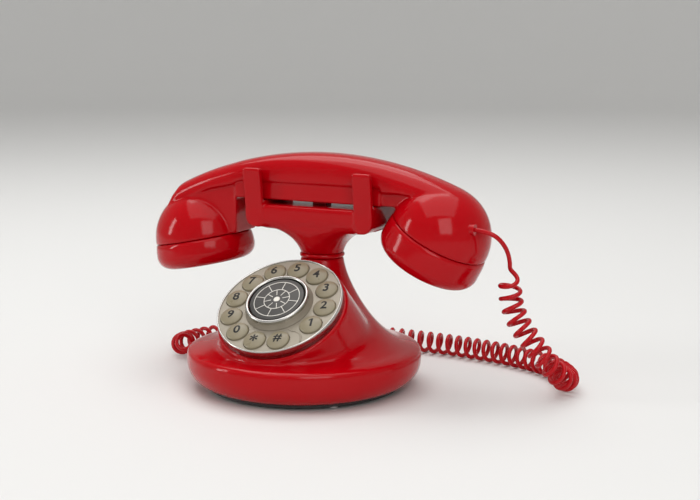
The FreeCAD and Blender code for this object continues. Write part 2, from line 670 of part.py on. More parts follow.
# Caps and capsules, each in the frame of its cup with the seam at height zero
for side, name, hole_count in ((-1, "ear", 6), (1, "mouth", 8)):
    cap_depth = cup_size(side, "cap_depth")
    lower = cap_depth * 0.55
    upper_cone = cone(name + "_cap_upper", "Sizes.cap_waist", "Sizes.cup_radius", "%g" % (cap_depth - lower),
                      Vector(0, 0, lower - cap_depth))
    lower_cone = cone(name + "_cap_lower", "Sizes.cap_face_radius + 3", "Sizes.cap_waist", "%g" % lower,
                      Vector(0, 0, -cap_depth))
    cap_solid = fuse(name + "_cap_solid", [upper_cone, lower_cone])
    cap_round = rounded(name + "_cap_round", cap_solid, 4.5,
                        lambda e: e.Closed and abs(middle(e).z + cap_depth) < 0.1)
    cap_soft = rounded(name + "_cap_soft", cap_round, 6.0,
                       lambda e: e.Closed and abs(middle(e).z + cap_depth - lower) < 0.1)
    cap_room = cylinder(name + "_cap_room", "Sizes.cup_radius - Sizes.cap_wall - 1.5", "Sizes.%s_cap_depth" % name,
                        Vector(0, 0, -cap_depth + 2 * size("cap_wall") + 1.0))
    cap_holes = around(name + "_cap_holes", hole_count, size("cap_hole_circle"), 0.0, lambda label, x, y: cylinder(
        label, "Sizes.cap_hole_radius", "12", Vector(x, y, -cap_depth - 2)))
    cap_middle = cylinder(name + "_cap_middle", "Sizes.cap_hole_radius", "12", Vector(0, 0, -cap_depth - 2))
    cap = node(cut(name + "_cap", cap_soft, [cap_room, cap_holes, cap_middle]))
    cap.Placement = handset_place.multiply(cup_frame(side))
    capsule = node(cylinder("receiver_capsule" if name == "ear" else "microphone_capsule", "Sizes.capsule_radius",
                            "Sizes.capsule_height"))
    capsule.Placement = handset_place.multiply(cup_frame(side, -cap_depth + 2 * size("cap_wall") + 1.0))

doc.recompute()

# Curly cord: a tail from the handset's right end, curls down to the table and round behind
# the base, and a short lead into the plug on the left
coil_floor = size("curl_radius") + size("wire_diameter") / 2 + size("curl_clearance") / 2
exit_z = size("cord_exit_z")
exit_x = size("cord_exit_x")
exit_y = size("cord_exit_y")
plug_end = rim_place("jack_angle", plug_start + size("plug_length"))
plug_out = plug_end.Rotation.multVec(Vector(1, 0, 0))
CORD_ROUTE = [
    Vector(exit_x, exit_y, exit_z),
    Vector(exit_x + 7, exit_y, exit_z - 0.4),
    Vector(127, exit_y + 3, 102.3),
    Vector(131.5, exit_y + 8, 92.5),
    Vector(131, exit_y + 12.5, 78),
    Vector(130, neck_y, 64),
    Vector(135, neck_y, 50),
    Vector(146, neck_y + 1, 35),
    Vector(156, neck_y + 6, 21),
    Vector(161, neck_y + 17, coil_floor + 2.5),
    Vector(158, 62, coil_floor),
    Vector(142, 83, coil_floor),
    Vector(112, 99, coil_floor),
    Vector(76, 108, coil_floor),
    Vector(36, 112, coil_floor),
    Vector(-8, 111, coil_floor),
    Vector(-50, 103, coil_floor),
    Vector(-84, 87, coil_floor),
    Vector(-107, 63, coil_floor),
    Vector(-115, 40, coil_floor),
    Vector(-111, 24, coil_floor + 1.5),
    plug_end.Base + plug_out * 20 + Vector(0, 1.5, -1.0),
    plug_end.Base + plug_out * 9,
    plug_end.Base,
]


def corner_arc(before, corner, after):
    """Where the arc that eases a corner of the route starts and ends."""
    inward = (before - corner)
    outward = (after - corner)
    reach = 0.45 * min(inward.Length, outward.Length)
    start = corner + inward.normalize() * reach
    end = corner + outward.normalize() * reach
    return start, end


def route_samples(points, step=0.4):
    """Points along the route, close together, with its corners eased by arcs."""
    samples = [points[0]]
    for before, corner, after in zip(points, points[1:], points[2:]):
        start, end = corner_arc(before, corner, after)
        arc = Part.Arc(start, arc_middle(start, corner, end), end).toShape()
        run = Part.LineSegment(samples[-1], start).toShape()
        for edge in (run, arc):
            count = max(2, int(edge.Length / step))
            samples.extend(edge.discretize(count)[1:])
    last_run = Part.LineSegment(samples[-1], points[-1]).toShape()
    samples.extend(last_run.discretize(max(2, int(last_run.Length / step)))[1:])
    return samples


def arc_middle(start, corner, end):
    """The middle of the arc that touches start-corner and corner-end at its ends."""
    chord_middle = (start + end) * 0.5
    half = (end - start).Length / 2
    leg = (corner - start).Length
    alpha = acos(min(1.0, half / leg))
    if alpha < 1e-6:
        return chord_middle
    return chord_middle + (corner - chord_middle) * (tan(alpha / 2) / tan(alpha))


def wire_line(centres):
    """The wire's own line: the route with curls wound round it between the two leads."""
    normal = Vector(0, 1, 0)
    travelled = 0.0
    phase = 0.0
    lead_in = 34.0
    lead_out = 14.0
    ramp_length = 16.0
    total = sum((b - a).Length for a, b in zip(centres, centres[1:]))
    line = []
    for number, centre in enumerate(centres):
        ahead = centres[min(number + 1, len(centres) - 1)]
        behind = centres[max(number - 1, 0)]
        along = (ahead - behind).normalize()
        normal = (normal - along * normal.dot(along)).normalize()
        side = along.cross(normal)
        ramp = min(1.0, max(0.0, (travelled - lead_in) / ramp_length),
                   max(0.0, (total - lead_out - travelled) / ramp_length))
        ramp = ease(ramp)
        spread = size("curl_radius") * ramp
        line.append((centre + normal * (spread * cos(phase)) + side * (spread * sin(phase)), phase))
        pace = (ahead - centre).Length
        travelled += pace
        pitch = size("curl_pitch") * (1 + 4 * (1 - ramp))
        phase += 2 * pi * pace / pitch
    return line


def biarc(start, start_way, end, end_way):
    """Two arcs that join two points and keep the directions there."""
    gap = end - start
    both = start_way + end_way
    spare = 2 * (1 - start_way.dot(end_way))
    lean = gap.dot(both)
    if spare < 1e-9:
        if (start_way.cross(gap)).Length < 1e-6 * gap.Length:
            return [Part.LineSegment(start, end).toShape()]
        reach = gap.dot(gap) / (4 * gap.dot(end_way))
    else:
        reach = (-lean + sqrt(lean * lean + spare * gap.dot(gap))) / spare
    first = start + start_way * reach
    second = end - end_way * reach
    joint = (first + second) * 0.5
    edges = []
    for a, corner, b in ((start, first, joint), (joint, second, end)):
        through = arc_middle(a, corner, b)
        if (through - (a + b) * 0.5).Length < 1e-5:
            edges.append(Part.LineSegment(a, b).toShape())
        else:
            edges.append(Part.Arc(a, through, b).toShape())
    return edges


centres = route_samples(CORD_ROUTE)
winding = wire_line(centres)
picks = [0]
for number in range(1, len(winding)):
    turned_by = winding[number][1] - winding[picks[-1]][1]
    gone = (winding[number][0] - winding[picks[-1]][0]).Length
    if turned_by >= pi / 2 or gone >= 9.0:
        picks.append(number)
if len(winding) - 1 - picks[-1] < 6:
    picks[-1] = len(winding) - 1
else:
    picks.append(len(winding) - 1)
spots = []
for pick in picks:
    before = winding[max(pick - 1, 0)][0]
    after = winding[min(pick + 1, len(winding) - 1)][0]
    spots.append((winding[pick][0], (after - before).normalize()))
start_way = Vector(1, 0, 0)
end_way = plug_out * -1
lead = size("wire_diameter")
spots[0] = (spots[0][0] + start_way * lead, start_way)
spots[-1] = (spots[-1][0] - end_way * lead, end_way)
cord_edges = [Part.LineSegment(CORD_ROUTE[0], spots[0][0]).toShape()]
for (a, a_way), (b, b_way) in zip(spots, spots[1:]):
    cord_edges.extend(biarc(a, a_way, b, b_way))
cord_edges.append(Part.LineSegment(spots[-1][0], CORD_ROUTE[-1]).toShape())
cord_path = Part.Wire(cord_edges)
cord_ring = Part.Wire(Part.makeCircle(size("wire_diameter") / 2, CORD_ROUTE[0], start_way))
curly_cord = node(doc.addObject("Part::Feature", "curly_cord"))
curly_cord.Shape = cord_path.makePipeShell([cord_ring], True, False)


def least_gap(edges, thickness):
    """The least free space between two stretches of the wire, on points along it."""
    points = []
    for edge in edges:
        points.extend(edge.discretize(max(2, int(edge.Length / 1.2) + 1))[1:])
    reach = []
    gone = 0.0
    for a, b in zip(points, points[1:]):
        reach.append(gone)
        gone += (b - a).Length
    reach.append(gone)
    best = 1e9
    skip = 3.0 * thickness
    for i in range(len(points)):
        a = points[i]
        for j in range(i + 1, min(i + 120, len(points))):
            if reach[j] - reach[i] > skip:
                best = min(best, (points[j] - a).Length)
    return best - thickness


print("cord length %.0f mm, curls %.1f, least gap to itself %.2f mm, lowest point %.2f mm" % (
    cord_path.Length, winding[-1][1] / (2 * pi), least_gap(cord_edges, size("wire_diameter")),
    curly_cord.Shape.BoundBox.ZMin))
tube_volume = pi * (size("wire_diameter") / 2) ** 2 * cord_path.Length
print("cord volume against section times length %.4f" % (curly_cord.Shape.Volume / tube_volume))
radii = [e.Curve.Radius for e in cord_edges if hasattr(e.Curve, "Radius")]
print("tightest curl radius %.2f mm" % min(radii))

# Grommet that holds the cord in the handset's end
grommet_length = size("grommet_length")
cord_grommet = node(cylinder("cord_grommet", "Sizes.wire_diameter + 0.6", "%g" % grommet_length,
                             Vector(exit_x - grommet_length, exit_y, exit_z), Rotation(Vector(0, 1, 0), 90)))
grommet_hole = cylinder("grommet_hole", "Sizes.wire_diameter + 0.6", "%g" % grommet_length,
                        Vector(exit_x - grommet_length - size("handset_shift"), exit_y - neck_y, exit_z),
                        Rotation(Vector(0, 1, 0), 90))
handset_shell.Tool.Shapes = handset_shell.Tool.Shapes + [grommet_hole]

doc.recompute()

# Every object is checked before anything is written
faults = []
for obj in doc.Objects:
    if "Invalid" in obj.State or "Error" in obj.State:
        faults.append("%s is %s" % (obj.Name, obj.State))
for obj in NODES:
    if obj.Shape.isNull() or not obj.Shape.isValid() or not obj.Shape.Solids:
        faults.append("%s has no valid solid" % obj.Label)
if faults:
    raise RuntimeError("; ".join(faults))
os.makedirs("parts", exist_ok=True)
for obj in NODES:
    obj.Shape.exportStep(os.path.join("parts", obj.Label + ".step"))
    print("%-20s solids %2d  volume %9.0f  z %6.1f to %6.1f" % (
        obj.Label, len(obj.Shape.Solids), obj.Shape.Volume, obj.Shape.BoundBox.ZMin, obj.Shape.BoundBox.ZMax))
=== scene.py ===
# Desk telephone in the old cradle style, in red plastic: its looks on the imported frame.
from math import atan2, cos, hypot, pi, radians, sin, sqrt
import bmesh
import bpy
from mathutils import Matrix, Vector


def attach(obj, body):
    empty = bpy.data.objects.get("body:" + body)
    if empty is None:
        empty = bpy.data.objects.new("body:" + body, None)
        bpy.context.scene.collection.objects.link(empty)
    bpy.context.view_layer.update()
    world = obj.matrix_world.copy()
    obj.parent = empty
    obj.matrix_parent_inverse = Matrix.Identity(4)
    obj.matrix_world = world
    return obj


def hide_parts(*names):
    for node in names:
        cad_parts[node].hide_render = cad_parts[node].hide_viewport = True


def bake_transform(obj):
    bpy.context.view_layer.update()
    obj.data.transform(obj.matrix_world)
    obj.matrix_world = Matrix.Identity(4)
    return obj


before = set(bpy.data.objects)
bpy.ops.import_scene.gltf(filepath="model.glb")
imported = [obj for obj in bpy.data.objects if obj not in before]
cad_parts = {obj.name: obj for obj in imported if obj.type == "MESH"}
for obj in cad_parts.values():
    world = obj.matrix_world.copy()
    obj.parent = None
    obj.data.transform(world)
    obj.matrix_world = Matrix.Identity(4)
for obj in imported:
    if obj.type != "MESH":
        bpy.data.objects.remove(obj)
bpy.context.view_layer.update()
scene = bpy.context.scene

# The view: a long lens to the right of the telephone's front and a little above it.
# The frame's origin is the middle of the round base on the table.
look_down = radians(9.73)
look_round = radians(26.30)
lens = bpy.data.cameras.new("photo_lens")
lens.sensor_width = 36.0
lens.lens = 72.0
camera = bpy.data.objects.new("photo_camera", lens)
camera.location = (0.4163, -0.7759, 0.2387)
camera.rotation_euler = (pi / 2 - look_down, 0.0, look_round)
scene.collection.objects.link(camera)
scene.camera = camera
scene.view_settings.view_transform = "Standard"

# The surroundings: a pale table top that sweeps up all round and keeps the shadow, an even room
# and soft lamps, which the polished plastic shows as broad highlights.
lamp_aim = Vector((0.0, 0.0, 0.07))
table_reach = 2.6
table_bend = 1.0
bend_steps = 10
backdrop_top = 2.4
room = bpy.data.worlds.new("pale_room")
room.use_nodes = True
room_light = room.node_tree.nodes["Background"]
room_light.inputs["Color"].default_value = (0.80, 0.80, 0.80, 1.0)
room_light.inputs["Strength"].default_value = 0.42
scene.world = room
for lamp_name, place, width, height, power in (
        ("ceiling_lamp", (0.10, -0.20, 2.60), 3.0, 3.0, 42.0),
        ("window_lamp", (-0.45, 0.55, 1.30), 1.10, 0.80, 6.5),
        ("front_lamp", (0.95, -1.15, 0.95), 0.80, 1.05, 9.0),
        ("left_lamp", (-1.25, -0.75, 0.55), 0.22, 0.75, 5.0)):
    lamp_data = bpy.data.lights.new(lamp_name, "AREA")
    lamp_data.shape = "RECTANGLE"
    lamp_data.size = width
    lamp_data.size_y = height
    lamp_data.energy = power
    lamp = bpy.data.objects.new(lamp_name, lamp_data)
    lamp.location = place
    lamp.rotation_euler = (lamp_aim - Vector(place)).to_track_quat("-Z", "Y").to_euler()
    scene.collection.objects.link(lamp)
sweep = [(0.0, 0.0), (table_reach, 0.0)]
for step in range(1, bend_steps + 1):
    bent = radians(90 * step / bend_steps)
    sweep.append((table_reach + table_bend * sin(bent), table_bend - table_bend * cos(bent)))
sweep.append((table_reach + table_bend, backdrop_top))
table_bm = bmesh.new()
sweep_verts = [table_bm.verts.new((radius, 0.0, height)) for radius, height in sweep]
sweep_edges = [table_bm.edges.new(pair) for pair in zip(sweep_verts, sweep_verts[1:])]
bmesh.ops.spin(table_bm, geom=sweep_verts + sweep_edges, cent=(0, 0, 0), axis=(0, 0, 1),
               angle=2 * pi, steps=96, use_merge=True)
bmesh.ops.remove_doubles(table_bm, verts=table_bm.verts, dist=0.0001)
bmesh.ops.recalc_face_normals(table_bm, faces=table_bm.faces)
table_mesh = bpy.data.meshes.new("pale_table")
table_bm.to_mesh(table_mesh)
table_bm.free()
table_mesh.shade_smooth()
table = bpy.data.objects.new("pale_table", table_mesh)
scene.collection.objects.link(table)
table_finish = bpy.data.materials.new("pale_table")
table_finish.use_nodes = True
table_shader = table_finish.node_tree.nodes["Principled BSDF"]
table_shader.inputs["Base Color"].default_value = (0.74, 0.735, 0.72, 1.0)
table_shader.inputs["Roughness"].default_value = 0.7
table_mesh.materials.append(table_finish)


# The casing: one hollow moulding of red plastic, a round rim that sweeps up into the neck
# behind and into the drum that carries the dial in front. Polished, a little handled.
# Sizes are in millimetres and become metres as each piece is finished.
casing_radius = 75.3
casing_lift = 3.2
casing_wall = 2.5
casing_voxel = 1.1
rim_top = 26.0
rim_lower_round = 14.5
rim_upper_round = 3.5
neck_radius = 14.0
neck_top = 80.0
neck_y = 25.5
neck_bore = 11.0
neck_lean = 2.3
flare_steps = 32
flare_ease = 1.35
flare_power = 1.6
drum_foot_radius = 52.0
drum_top_radius = 42.0
drum_height = 52.0
drum_floor = 13.0
floor_opening = 60.5
dial_depth = 5.5
pan_radius = 38.6
dial_place = Matrix.Translation((0.0, -32.7, 58.0)) @ Matrix.Rotation(radians(34.5), 4, "X")
socket_height = 13.5
socket_size = 10.0
window_size = 10.2
handset_socket_turn = 172.0
line_socket_turn = 90.0


def handled_surface():
    """Faint hazy patches and a fine grain, as plastic and paint show them."""
    group = bpy.data.node_groups.new("handled_surface", "ShaderNodeTree")
    group.interface.new_socket("Patch Scale", in_out="INPUT", socket_type="NodeSocketFloat")
    group.interface.new_socket("Grain Scale", in_out="INPUT", socket_type="NodeSocketFloat")
    group.interface.new_socket("Patches", in_out="OUTPUT", socket_type="NodeSocketFloat")
    group.interface.new_socket("Grain", in_out="OUTPUT", socket_type="NodeSocketFloat")
    entry = group.nodes.new("NodeGroupInput")
    leave = group.nodes.new("NodeGroupOutput")
    where = group.nodes.new("ShaderNodeTexCoord")
    for scale, detail, result in (("Patch Scale", 4.0, "Patches"), ("Grain Scale", 2.0, "Grain")):
        cloud = group.nodes.new("ShaderNodeTexNoise")
        cloud.inputs["Detail"].default_value = detail
        group.links.new(where.outputs["Object"], cloud.inputs["Vector"])
        group.links.new(entry.outputs[scale], cloud.inputs["Scale"])
        group.links.new(cloud.outputs["Fac"], leave.inputs[result])
    return group


surface_group = handled_surface()


def finish_of(name, colour, second, gloss, spread, metal=0.0, shine=0.5, relief=0.0, patch=40.0, grain=900.0):
    """A finish of two close colours with uneven gloss and a fine grain."""
    made = bpy.data.materials.new(name)
    made.use_nodes = True
    nodes = made.node_tree.nodes
    links = made.node_tree.links
    shader = nodes["Principled BSDF"]
    shader.inputs["Metallic"].default_value = metal
    shader.inputs["Specular IOR Level"].default_value = shine
    wear = nodes.new("ShaderNodeGroup")
    wear.node_tree = surface_group
    wear.inputs["Patch Scale"].default_value = patch
    wear.inputs["Grain Scale"].default_value = grain
    tint = nodes.new("ShaderNodeMix")
    tint.data_type = "RGBA"
    tint.inputs["A"].default_value = (*colour, 1.0)
    tint.inputs["B"].default_value = (*second, 1.0)
    links.new(wear.outputs["Patches"], tint.inputs["Factor"])
    links.new(tint.outputs["Result"], shader.inputs["Base Color"])
    dull = nodes.new("ShaderNodeMapRange")
    dull.inputs["From Min"].default_value = 0.3
    dull.inputs["From Max"].default_value = 0.7
    dull.inputs["To Min"].default_value = gloss
    dull.inputs["To Max"].default_value = gloss + spread
    links.new(wear.outputs["Patches"], dull.inputs["Value"])
    links.new(dull.outputs["Result"], shader.inputs["Roughness"])
    if relief:
        bump = nodes.new("ShaderNodeBump")
        bump.inputs["Strength"].default_value = relief
        bump.inputs["Distance"].default_value = 0.0002
        links.new(wear.outputs["Grain"], bump.inputs["Height"])
        links.new(bump.outputs["Normal"], shader.inputs["Normal"])
    return made


red_plastic = finish_of("red_plastic", (0.40, 0.0, 0.003), (0.44, 0.001, 0.005), 0.09, 0.07,
                        shine=0.20, relief=0.012)


def turned(bm, profile, steps=128):
    """Spins a profile of (radius, height) once round the Z axis."""
    ring = [bm.verts.new((radius, 0.0, height)) for radius, height in profile]
    line = [bm.edges.new(pair) for pair in zip(ring, ring[1:])]
    bmesh.ops.spin(bm, geom=ring + line, cent=(0, 0, 0), axis=(0, 0, 1), angle=2 * pi, steps=steps, use_merge=True)
    bmesh.ops.remove_doubles(bm, verts=bm.verts, dist=0.001)
    bmesh.ops.recalc_face_normals(bm, faces=bm.faces)


def corner(cx, cz, radius, first, last, steps=6):
    """Points of a profile's rounded corner, by angle in degrees."""
    turns = [radians(first + (last - first) * n / steps) for n in range(steps + 1)]
    return [(cx + radius * cos(t), cz + radius * sin(t)) for t in turns]


def join(bm, part):
    """Adds a part's mesh to another's and lets the part go."""
    mesh = bpy.data.meshes.new("part")
    part.to_mesh(mesh)
    part.free()
    bm.from_mesh(mesh)
    bpy.data.meshes.remove(mesh)


def through_modifiers(bm, stack):
    """Passes a bmesh through modifiers given as (kind, settings)."""
    rough = bpy.data.meshes.new("rough_shape")
    bm.to_mesh(rough)
    holder = bpy.data.objects.new("rough_shape", rough)
    scene.collection.objects.link(holder)
    for kind, settings in stack:
        step = holder.modifiers.new(kind.lower(), kind)
        for setting, value in settings.items():
            setattr(step, setting, value)
    done = bpy.data.meshes.new_from_object(holder.evaluated_get(bpy.context.evaluated_depsgraph_get()))
    bm.clear()
    bm.from_mesh(done)
    bpy.data.objects.remove(holder)
    bpy.data.meshes.remove(rough)
    bpy.data.meshes.remove(done)


def soften(bm, verts, times):
    """Evens out the creases between moulded forms."""
    for _ in range(times):
        bmesh.ops.smooth_vert(bm, verts=verts, factor=0.5, use_axis_x=True, use_axis_y=True, use_axis_z=True)


def cut_away(bm, cutters):
    """Cuts the shapes of other bmeshes out of one, and lets them go."""
    tools = []
    for cutter in cutters:
        mesh = bpy.data.meshes.new("cutter")
        cutter.to_mesh(mesh)
        cutter.free()
        tools.append(bpy.data.objects.new("cutter", mesh))
        scene.collection.objects.link(tools[-1])
    through_modifiers(bm, [("BOOLEAN", {"operation": "DIFFERENCE", "object": tool, "solver": "EXACT"})
                           for tool in tools])
    for tool in tools:
        bpy.data.objects.remove(tool)


def piece_of(name, bm, body, finishes, stands_for, smooth=True):
    """Makes a finished piece in metres that rides on a body."""
    bm.transform(Matrix.Scale(0.001, 4))
    mesh = bpy.data.meshes.new(name)
    bm.to_mesh(mesh)
    bm.free()
    if smooth:
        mesh.shade_smooth()
    for finish in finishes:
        mesh.materials.append(finish)
    made = bpy.data.objects.new(name, mesh)
    scene.collection.objects.link(made)
    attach(made, body)
    if stands_for:
        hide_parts(*stands_for)
    return made


flare_foot = casing_radius - rim_upper_round
flare = []
for step in range(1, flare_steps + 1):
    share = (step / flare_steps) ** flare_ease
    drawn_in = (1 - (1 - share) ** flare_power) ** (1 / flare_power)
    flare.append((flare_foot - (flare_foot - neck_radius) * drawn_in, rim_top + (neck_top - rim_top) * share))
casing_profile = [(0.0, casing_lift)]
casing_profile += corner(casing_radius - rim_lower_round, casing_lift + rim_lower_round,
                         rim_lower_round, -90, 0, 10)
casing_profile += corner(flare_foot, rim_top - rim_upper_round, rim_upper_round, 0, 90)
casing_profile += flare + [(0.0, neck_top)]
casing_bm = bmesh.new()
turned(casing_bm, casing_profile)
for v in casing_bm.verts:
    rise = max(0.0, (v.co.z - rim_top) / (neck_top - rim_top))
    v.co.y += neck_y * (1 - (1 - rise) ** neck_lean)
drum_bm = bmesh.new()
bmesh.ops.create_cone(drum_bm, cap_ends=True, segments=128, radius1=drum_foot_radius, radius2=drum_top_radius,
                      depth=drum_height,
                      matrix=dial_place @ Matrix.Translation((0, 0, -dial_depth - drum_height / 2)))
sliced = bmesh.ops.bisect_plane(drum_bm, geom=drum_bm.verts[:] + drum_bm.edges[:] + drum_bm.faces[:],
                                plane_co=(0, 0, drum_floor), plane_no=(0, 0, 1), clear_inner=True)
bmesh.ops.edgeloop_fill(drum_bm, edges=[e for e in sliced["geom_cut"] if isinstance(e, bmesh.types.BMEdge)])
join(casing_bm, drum_bm)
through_modifiers(casing_bm, [("REMESH", {"mode": "VOXEL", "voxel_size": casing_voxel})])
soften(casing_bm, casing_bm.verts[:], 3)
to_dial = dial_place.inverted()
crease = [v for v in casing_bm.verts
          if rim_top - 1 < v.co.z < neck_top - 8 and (to_dial @ v.co).z < -dial_depth - 4]
soften(casing_bm, crease, 26)
opened = []
for f in casing_bm.faces:
    spot = f.calc_center_median()
    flat = to_dial @ spot
    if hypot(flat.x, flat.y) < pan_radius - 0.5 and abs(flat.z + dial_depth) < 1.5:
        opened.append(f)
    elif spot.z < casing_lift + 0.6 and hypot(spot.x, spot.y) < floor_opening:
        opened.append(f)
    elif spot.z > neck_top - 0.8 and hypot(spot.x, spot.y - neck_y) < neck_bore:
        opened.append(f)
bmesh.ops.delete(casing_bm, geom=opened, context="FACES")
through_modifiers(casing_bm, [("SOLIDIFY", {"thickness": casing_wall, "offset": -1.0})])
windows = []
for socket_turn in (handset_socket_turn, line_socket_turn):
    windows.append(bmesh.new())
    bmesh.ops.create_cube(windows[-1], size=1.0, matrix=Matrix.Rotation(radians(socket_turn), 4, "Z")
                          @ Matrix.Translation((casing_radius - 6, 0, socket_height))
                          @ Matrix.Diagonal((24.0, window_size, window_size, 1.0)))
cut_away(casing_bm, windows)
piece_of("casing", casing_bm, "base", [red_plastic], ["base_shell"])


# The underside: a steel floor plate on four rubber feet and a middle pad, screwed into the
# casing; the plate's near-black colour is painted shade for the shadow under the rim.
# Ballast, ringer, board and switch stand on the plate; all keep their solid's shape.
steel = finish_of("steel", (0.46, 0.46, 0.47), (0.55, 0.55, 0.55), 0.32, 0.14,
                  metal=1.0, relief=0.10, patch=60.0)
black_rubber = finish_of("black_rubber", (0.018, 0.018, 0.018), (0.030, 0.029, 0.028), 0.62, 0.18, relief=0.25)
black_plastic = finish_of("black_plastic", (0.022, 0.022, 0.023), (0.035, 0.035, 0.036), 0.36, 0.14,
                          relief=0.12)
circuit_board = finish_of("circuit_board", (0.020, 0.12, 0.045), (0.035, 0.17, 0.065), 0.34, 0.16, relief=0.10)
# A near-black finish that paints the shadow under the rim onto the floor plate.
painted_shadow_finish = finish_of("painted_shadow_finish", (0.020, 0.020, 0.021), (0.034, 0.034, 0.035), 0.48, 0.16,
                       relief=0.20, grain=500.0)


def dress(finish, *names):
    """Gives nodes that keep their solid's shape their finish."""
    for name in names:
        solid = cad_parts[name]
        if solid.material_slots:
            solid.material_slots[0].material = finish
        else:
            solid.data.materials.append(finish)


dress(steel, "base_screws", "ballast", "dial_screws", "handset_weight", "hook_rod")
# The floor plate takes the near-black painted shade for the shadow under the rim.
dress(painted_shadow_finish, "base_plate")
dress(black_rubber, "base_feet", "middle_pad", "key_mat")
dress(black_plastic, "ringer", "hook_switch", "board_posts")
dress(circuit_board, "main_board", "key_board")

# The two sockets: black moulded blocks behind windows in the rim, the left one for the cord's plug
# and the rear one for the line. Each has a square mouth with four thin spring contacts.
socket_middle = 65.7
socket_length = 14.4
socket_lip = 1.4
mouth_depth = 13.0
contact_count = 4
contact_size = (11.0, 0.35, 0.25)
contact_middle = 66.0
contact_rise = 3.45
contact_metal = finish_of("contact_metal", (0.72, 0.55, 0.24), (0.78, 0.62, 0.30), 0.22, 0.10, metal=1.0)
for socket_name, socket_turn in (("handset_jack", handset_socket_turn), ("line_jack", line_socket_turn)):
    socket_bm = bmesh.new()
    bmesh.ops.create_cube(socket_bm, size=1.0, matrix=Matrix.Translation((socket_middle, 0, socket_height))
                          @ Matrix.Diagonal((socket_length, socket_size, socket_size, 1.0)))
    mouth = [f for f in socket_bm.faces if f.normal.x > 0.9]
    bmesh.ops.inset_region(socket_bm, faces=mouth, thickness=socket_lip)
    sunk = bmesh.ops.extrude_discrete_faces(socket_bm, faces=mouth)["faces"]
    bmesh.ops.translate(socket_bm, verts=sunk[0].verts, vec=(-mouth_depth, 0, 0))
    for contact in range(contact_count):
        contact_place = (contact_middle, contact - (contact_count - 1) / 2, socket_height + contact_rise)
        bmesh.ops.create_cube(socket_bm, size=1.0, matrix=Matrix.Translation(contact_place)
                              @ Matrix.Diagonal((*contact_size, 1.0)))
    socket_bm.faces.ensure_lookup_table()
    for f in socket_bm.faces[-6 * contact_count:]:
        f.material_index = 1
    socket_bm.transform(Matrix.Rotation(radians(socket_turn), 4, "Z"))
    piece_of(socket_name + "_block", socket_bm, "base", [black_plastic, contact_metal],
             [socket_name], smooth=False)

# The cradle: a collar on the neck and a red yoke that opens upwards into a crossbar
# with a fork at each end, moulded in one and pushed onto the neck.
collar_radius = 14.7
collar_round = 1.45
yoke_foot = 83.0
yoke_rise = 17.0
yoke_voxel = 0.65
arch_half = 44.0
bar_half = 35.0
bar_depth = 41.0
bar_bottom = 98.0
bar_top = 114.5
bar_lower_round = 7.0
bar_upper_round = 2.5
fork_inner = 33.0
fork_outer = 45.6
fork_bottom = 99.5
fork_round = 7.0
prong_top = 138.3
prong_gap = 17.6
prong_wall = 3.6
prong_knee = 112.0
prong_flare = 3.6
prong_round = 1.4
slot_floor = 116.9
root_low = 91.0
root_high = 106.0
root_half = 36.0
passage_size = (10.3, 8.8, 23.6)
passage_height = 110.4
rod_bore_radius = 2.8
rod_bore_length = 40.0
rod_bore_height = 90.0
collar_bm = bmesh.new()
collar_middle = collar_radius - collar_round
turned(collar_bm, [(neck_bore, neck_top)]
       + corner(collar_middle, neck_top + collar_round, collar_round, -90, 0)
       + corner(collar_middle, yoke_foot - collar_round, collar_round, 0, 90)
       + [(neck_bore, yoke_foot), (neck_bore, neck_top)])
bmesh.ops.translate(collar_bm, verts=collar_bm.verts, vec=(0, neck_y, 0))
piece_of("collar", collar_bm, "base", [red_plastic], ["neck_collar"])


def block(bm, low, high, rounds=()):
    """A block between two corners; rounds are (test of an edge's middle, radius)."""
    low, high = Vector(low), Vector(high)
    part = bmesh.new()
    bmesh.ops.create_cube(part, size=1.0, matrix=Matrix.Translation((low + high) / 2)
                          @ Matrix.Diagonal((*(high - low), 1.0)))
    for test, radius in rounds:
        chosen = [e for e in part.edges if test((e.verts[0].co + e.verts[1].co) / 2)]
        bmesh.ops.bevel(part, geom=chosen, offset=radius, offset_type="OFFSET", affect="EDGES", segments=8,
                        profile=0.5, material=-1)
    join(bm, part)


yoke_bm = bmesh.new()
stem_rise = [sin(radians(90.0 * n / 24.0)) for n in range(25)]
turned(yoke_bm, [(0.0, yoke_foot)] + [(neck_radius, yoke_foot + yoke_rise * s) for s in stem_rise]
       + [(0.0, yoke_foot + yoke_rise)])
for v in yoke_bm.verts:
    rise = min(1.0, max(0.0, (v.co.z - yoke_foot) / yoke_rise))
    square = 1.0 - 0.45 * rise
    wide = neck_radius + (arch_half - neck_radius) * (1 - sqrt(1 - rise * rise))
    deep = neck_radius + (bar_depth / 2 - 0.6 - neck_radius) * rise ** 0.7
    v.co.x = wide * (1 if v.co.x > 0 else -1) * (abs(v.co.x) / neck_radius) ** square
    v.co.y = deep * (1 if v.co.y > 0 else -1) * (abs(v.co.y) / neck_radius) ** square
block(yoke_bm, (-bar_half, -bar_depth / 2, bar_bottom), (bar_half, bar_depth / 2, bar_top),
      [(lambda m: abs(m.x) < 1 and m.z < bar_bottom + 0.1, bar_lower_round),
       (lambda m: abs(m.x) < 1 and m.z > bar_top - 0.1, bar_upper_round)])
outer_y = prong_gap + prong_wall
for side in (-1, 1):
    near, far = sorted((side * fork_inner, side * fork_outer))
    block(yoke_bm, (near, -outer_y, fork_bottom), (far, outer_y, slot_floor),
          [(lambda m: abs(abs(m.x) - fork_outer) < 0.1 and m.z < fork_bottom + 0.1, fork_round)])
    for face in (-1, 1):
        inner_y, rim_y = sorted((face * prong_gap, face * outer_y))
        block(yoke_bm, (near, inner_y, prong_knee), (far, rim_y, prong_top),
              [(lambda m: m.z > prong_top - 0.1, prong_round)])
for v in yoke_bm.verts:
    if v.co.z > slot_floor + 0.1:
        spread = prong_flare if abs(v.co.y) > prong_gap + prong_wall / 2 else prong_flare - 1.0
        v.co.y += spread * (1 if v.co.y > 0 else -1) * (v.co.z - prong_knee) / (prong_top - prong_knee)
